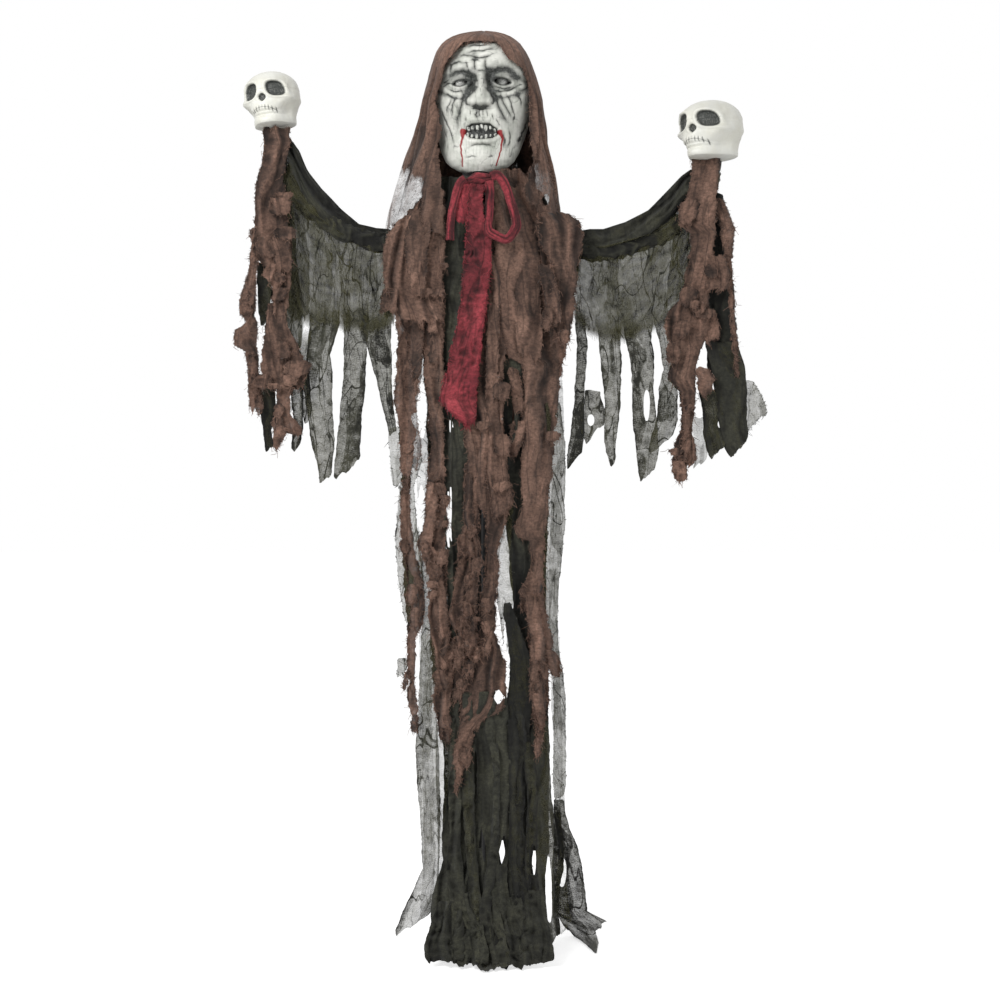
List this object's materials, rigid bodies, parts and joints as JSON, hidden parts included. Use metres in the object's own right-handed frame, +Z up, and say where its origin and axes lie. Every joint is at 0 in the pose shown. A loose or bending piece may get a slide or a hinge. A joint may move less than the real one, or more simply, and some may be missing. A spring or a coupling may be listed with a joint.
{
  "type": "animated ghost figure",
  "caption": "Standing hooded ghoul on a pole, with a mask, torn robe, scarf bow and two geared arms that lift skulls, and a head that turns.",
  "frame": {"origin": "centre of the base plate's underside, on the floor", "axes": "+Z up the pole, front towards -Y, the figure's left arm towards +X"},
  "size_m": [1.0066, 0.3443, 1.8301],
  "materials": {
    "black_steel": "satin black",
    "bright_steel": "bright",
    "grey_plastic": "moulded",
    "gear_plastic": "natural",
    "black_plastic": "moulded",
    "red_plastic": "moulded",
    "board_green": "solder resist",
    "cell_wrap": "printed wrap",
    "mask_latex": "painted matte",
    "skull_plastic": "matte",
    "eye_white": "gloss",
    "brown_gauze": "open weave",
    "black_gauze": "open weave",
    "red_gauze": "crinkled"
  },
  "bodies": {
    "stand": {"base_plate": "black_steel", "lower_pole": "black_steel", "middle_pole": "black_steel", "upper_pole": "black_steel", "spine_bracket": "grey_plastic", "gear_case_back": "grey_plastic", "gear_case_front": "grey_plastic", "left_gear_pin": "bright_steel", "right_gear_pin": "bright_steel", "arm_motor": "bright_steel", "neck_motor": "black_plastic", "torso_front_shell": "black_plastic", "torso_back_shell": "black_plastic", "control_box": "black_plastic", "battery_cell_1": "cell_wrap", "battery_cell_2": "cell_wrap", "battery_cell_3": "cell_wrap", "speaker": "black_steel", "circuit_board": "board_green", "gown_front": "black_gauze", "gown_back": "black_gauze", "robe_front": "brown_gauze", "robe_back": "brown_gauze", "scarf_band": "red_gauze", "bow_knot": "red_gauze", "bow_left_loop": "red_gauze", "bow_right_loop": "red_gauze", "bow_tail": "red_gauze"},
    "battery_door_body": {"battery_door": "black_plastic"},
    "power_switch_body": {"power_switch": "black_plastic"},
    "try_button_body": {"try_button": "red_plastic"},
    "pinion": {"motor_pinion": "gear_plastic"},
    "head": {"head_hub": "grey_plastic", "head_former": "grey_plastic", "face_mask": "mask_latex", "left_eye": "eye_white", "right_eye": "eye_white", "hood": "brown_gauze"},
    "left_arm": {"left_arm_gear": "gear_plastic", "left_arm_rod": "black_steel", "left_sleeve": "black_gauze", "left_shoulder_rag": "brown_gauze", "left_wing": "black_gauze", "left_tassel": "brown_gauze"},
    "right_arm": {"right_arm_gear": "gear_plastic", "right_arm_rod": "black_steel", "right_sleeve": "black_gauze", "right_shoulder_rag": "brown_gauze", "right_wing": "black_gauze", "right_tassel": "brown_gauze"},
    "left_skull_body": {"left_skull": "skull_plastic"},
    "right_skull_body": {"right_skull": "skull_plastic"}
  },
  "joints": [
    {"name": "head_turn", "type": "hinge", "parent": "stand", "child": "head", "pos_m": [0, 0, 1.5051], "axis": [0, 0, 1], "range_deg": [-30, 30], "deforming": ["hood"]},
    {"name": "left_arm_lift", "type": "hinge", "parent": "stand", "child": "left_arm", "pos_m": [0.03, -0.0239, 1.4042], "axis": [0, 1, 0], "range_deg": [-12, 12], "deforming": ["left_shoulder_rag", "left_wing", "left_tassel"]},
    {"name": "right_arm_lift", "type": "hinge", "parent": "stand", "child": "right_arm", "pos_m": [-0.03, -0.0239, 1.4042], "axis": [0, 1, 0], "range_deg": [-12, 12], "deforming": ["right_shoulder_rag", "right_wing", "right_tassel"]},
    {"name": "pinion_spin", "type": "hinge", "parent": "stand", "child": "pinion", "pos_m": [0.03, -0.0239, 1.3642], "axis": [0, 1, 0], "range_deg": [-36, 36]},
    {"name": "left_skull_turn", "type": "hinge", "parent": "left_arm", "child": "left_skull_body", "pos_m": [0.46322, -0.0239, 1.57739], "axis": [0.0872, 0, 0.9962], "range_deg": [-90, 90]},
    {"name": "right_skull_turn", "type": "hinge", "parent": "right_arm", "child": "right_skull_body", "pos_m": [-0.42794, -0.0239, 1.63496], "axis": [0.0872, 0, 0.9962], "range_deg": [-90, 90]},
    {"name": "battery_door_slide", "type": "slide", "parent": "stand", "child": "battery_door_body", "axis": [0, 0, -1], "range_m": [0, 0.055]},
    {"name": "power_switch_slide", "type": "slide", "parent": "stand", "child": "power_switch_body", "axis": [1, 0, 0], "range_m": [0, 0.006]},
    {"name": "try_button_press", "type": "slide", "parent": "stand", "child": "try_button_body", "axis": [0, -1, 0], "range_m": [0, 0.0025], "stiffness_N_per_m": 400, "springref_m": -0.001}
  ],
  "couplings": [
    {"joint": "right_arm_lift", "follows": "left_arm_lift", "ratio": -1},
    {"joint": "pinion_spin", "follows": "left_arm_lift", "ratio": -3}
  ]
}
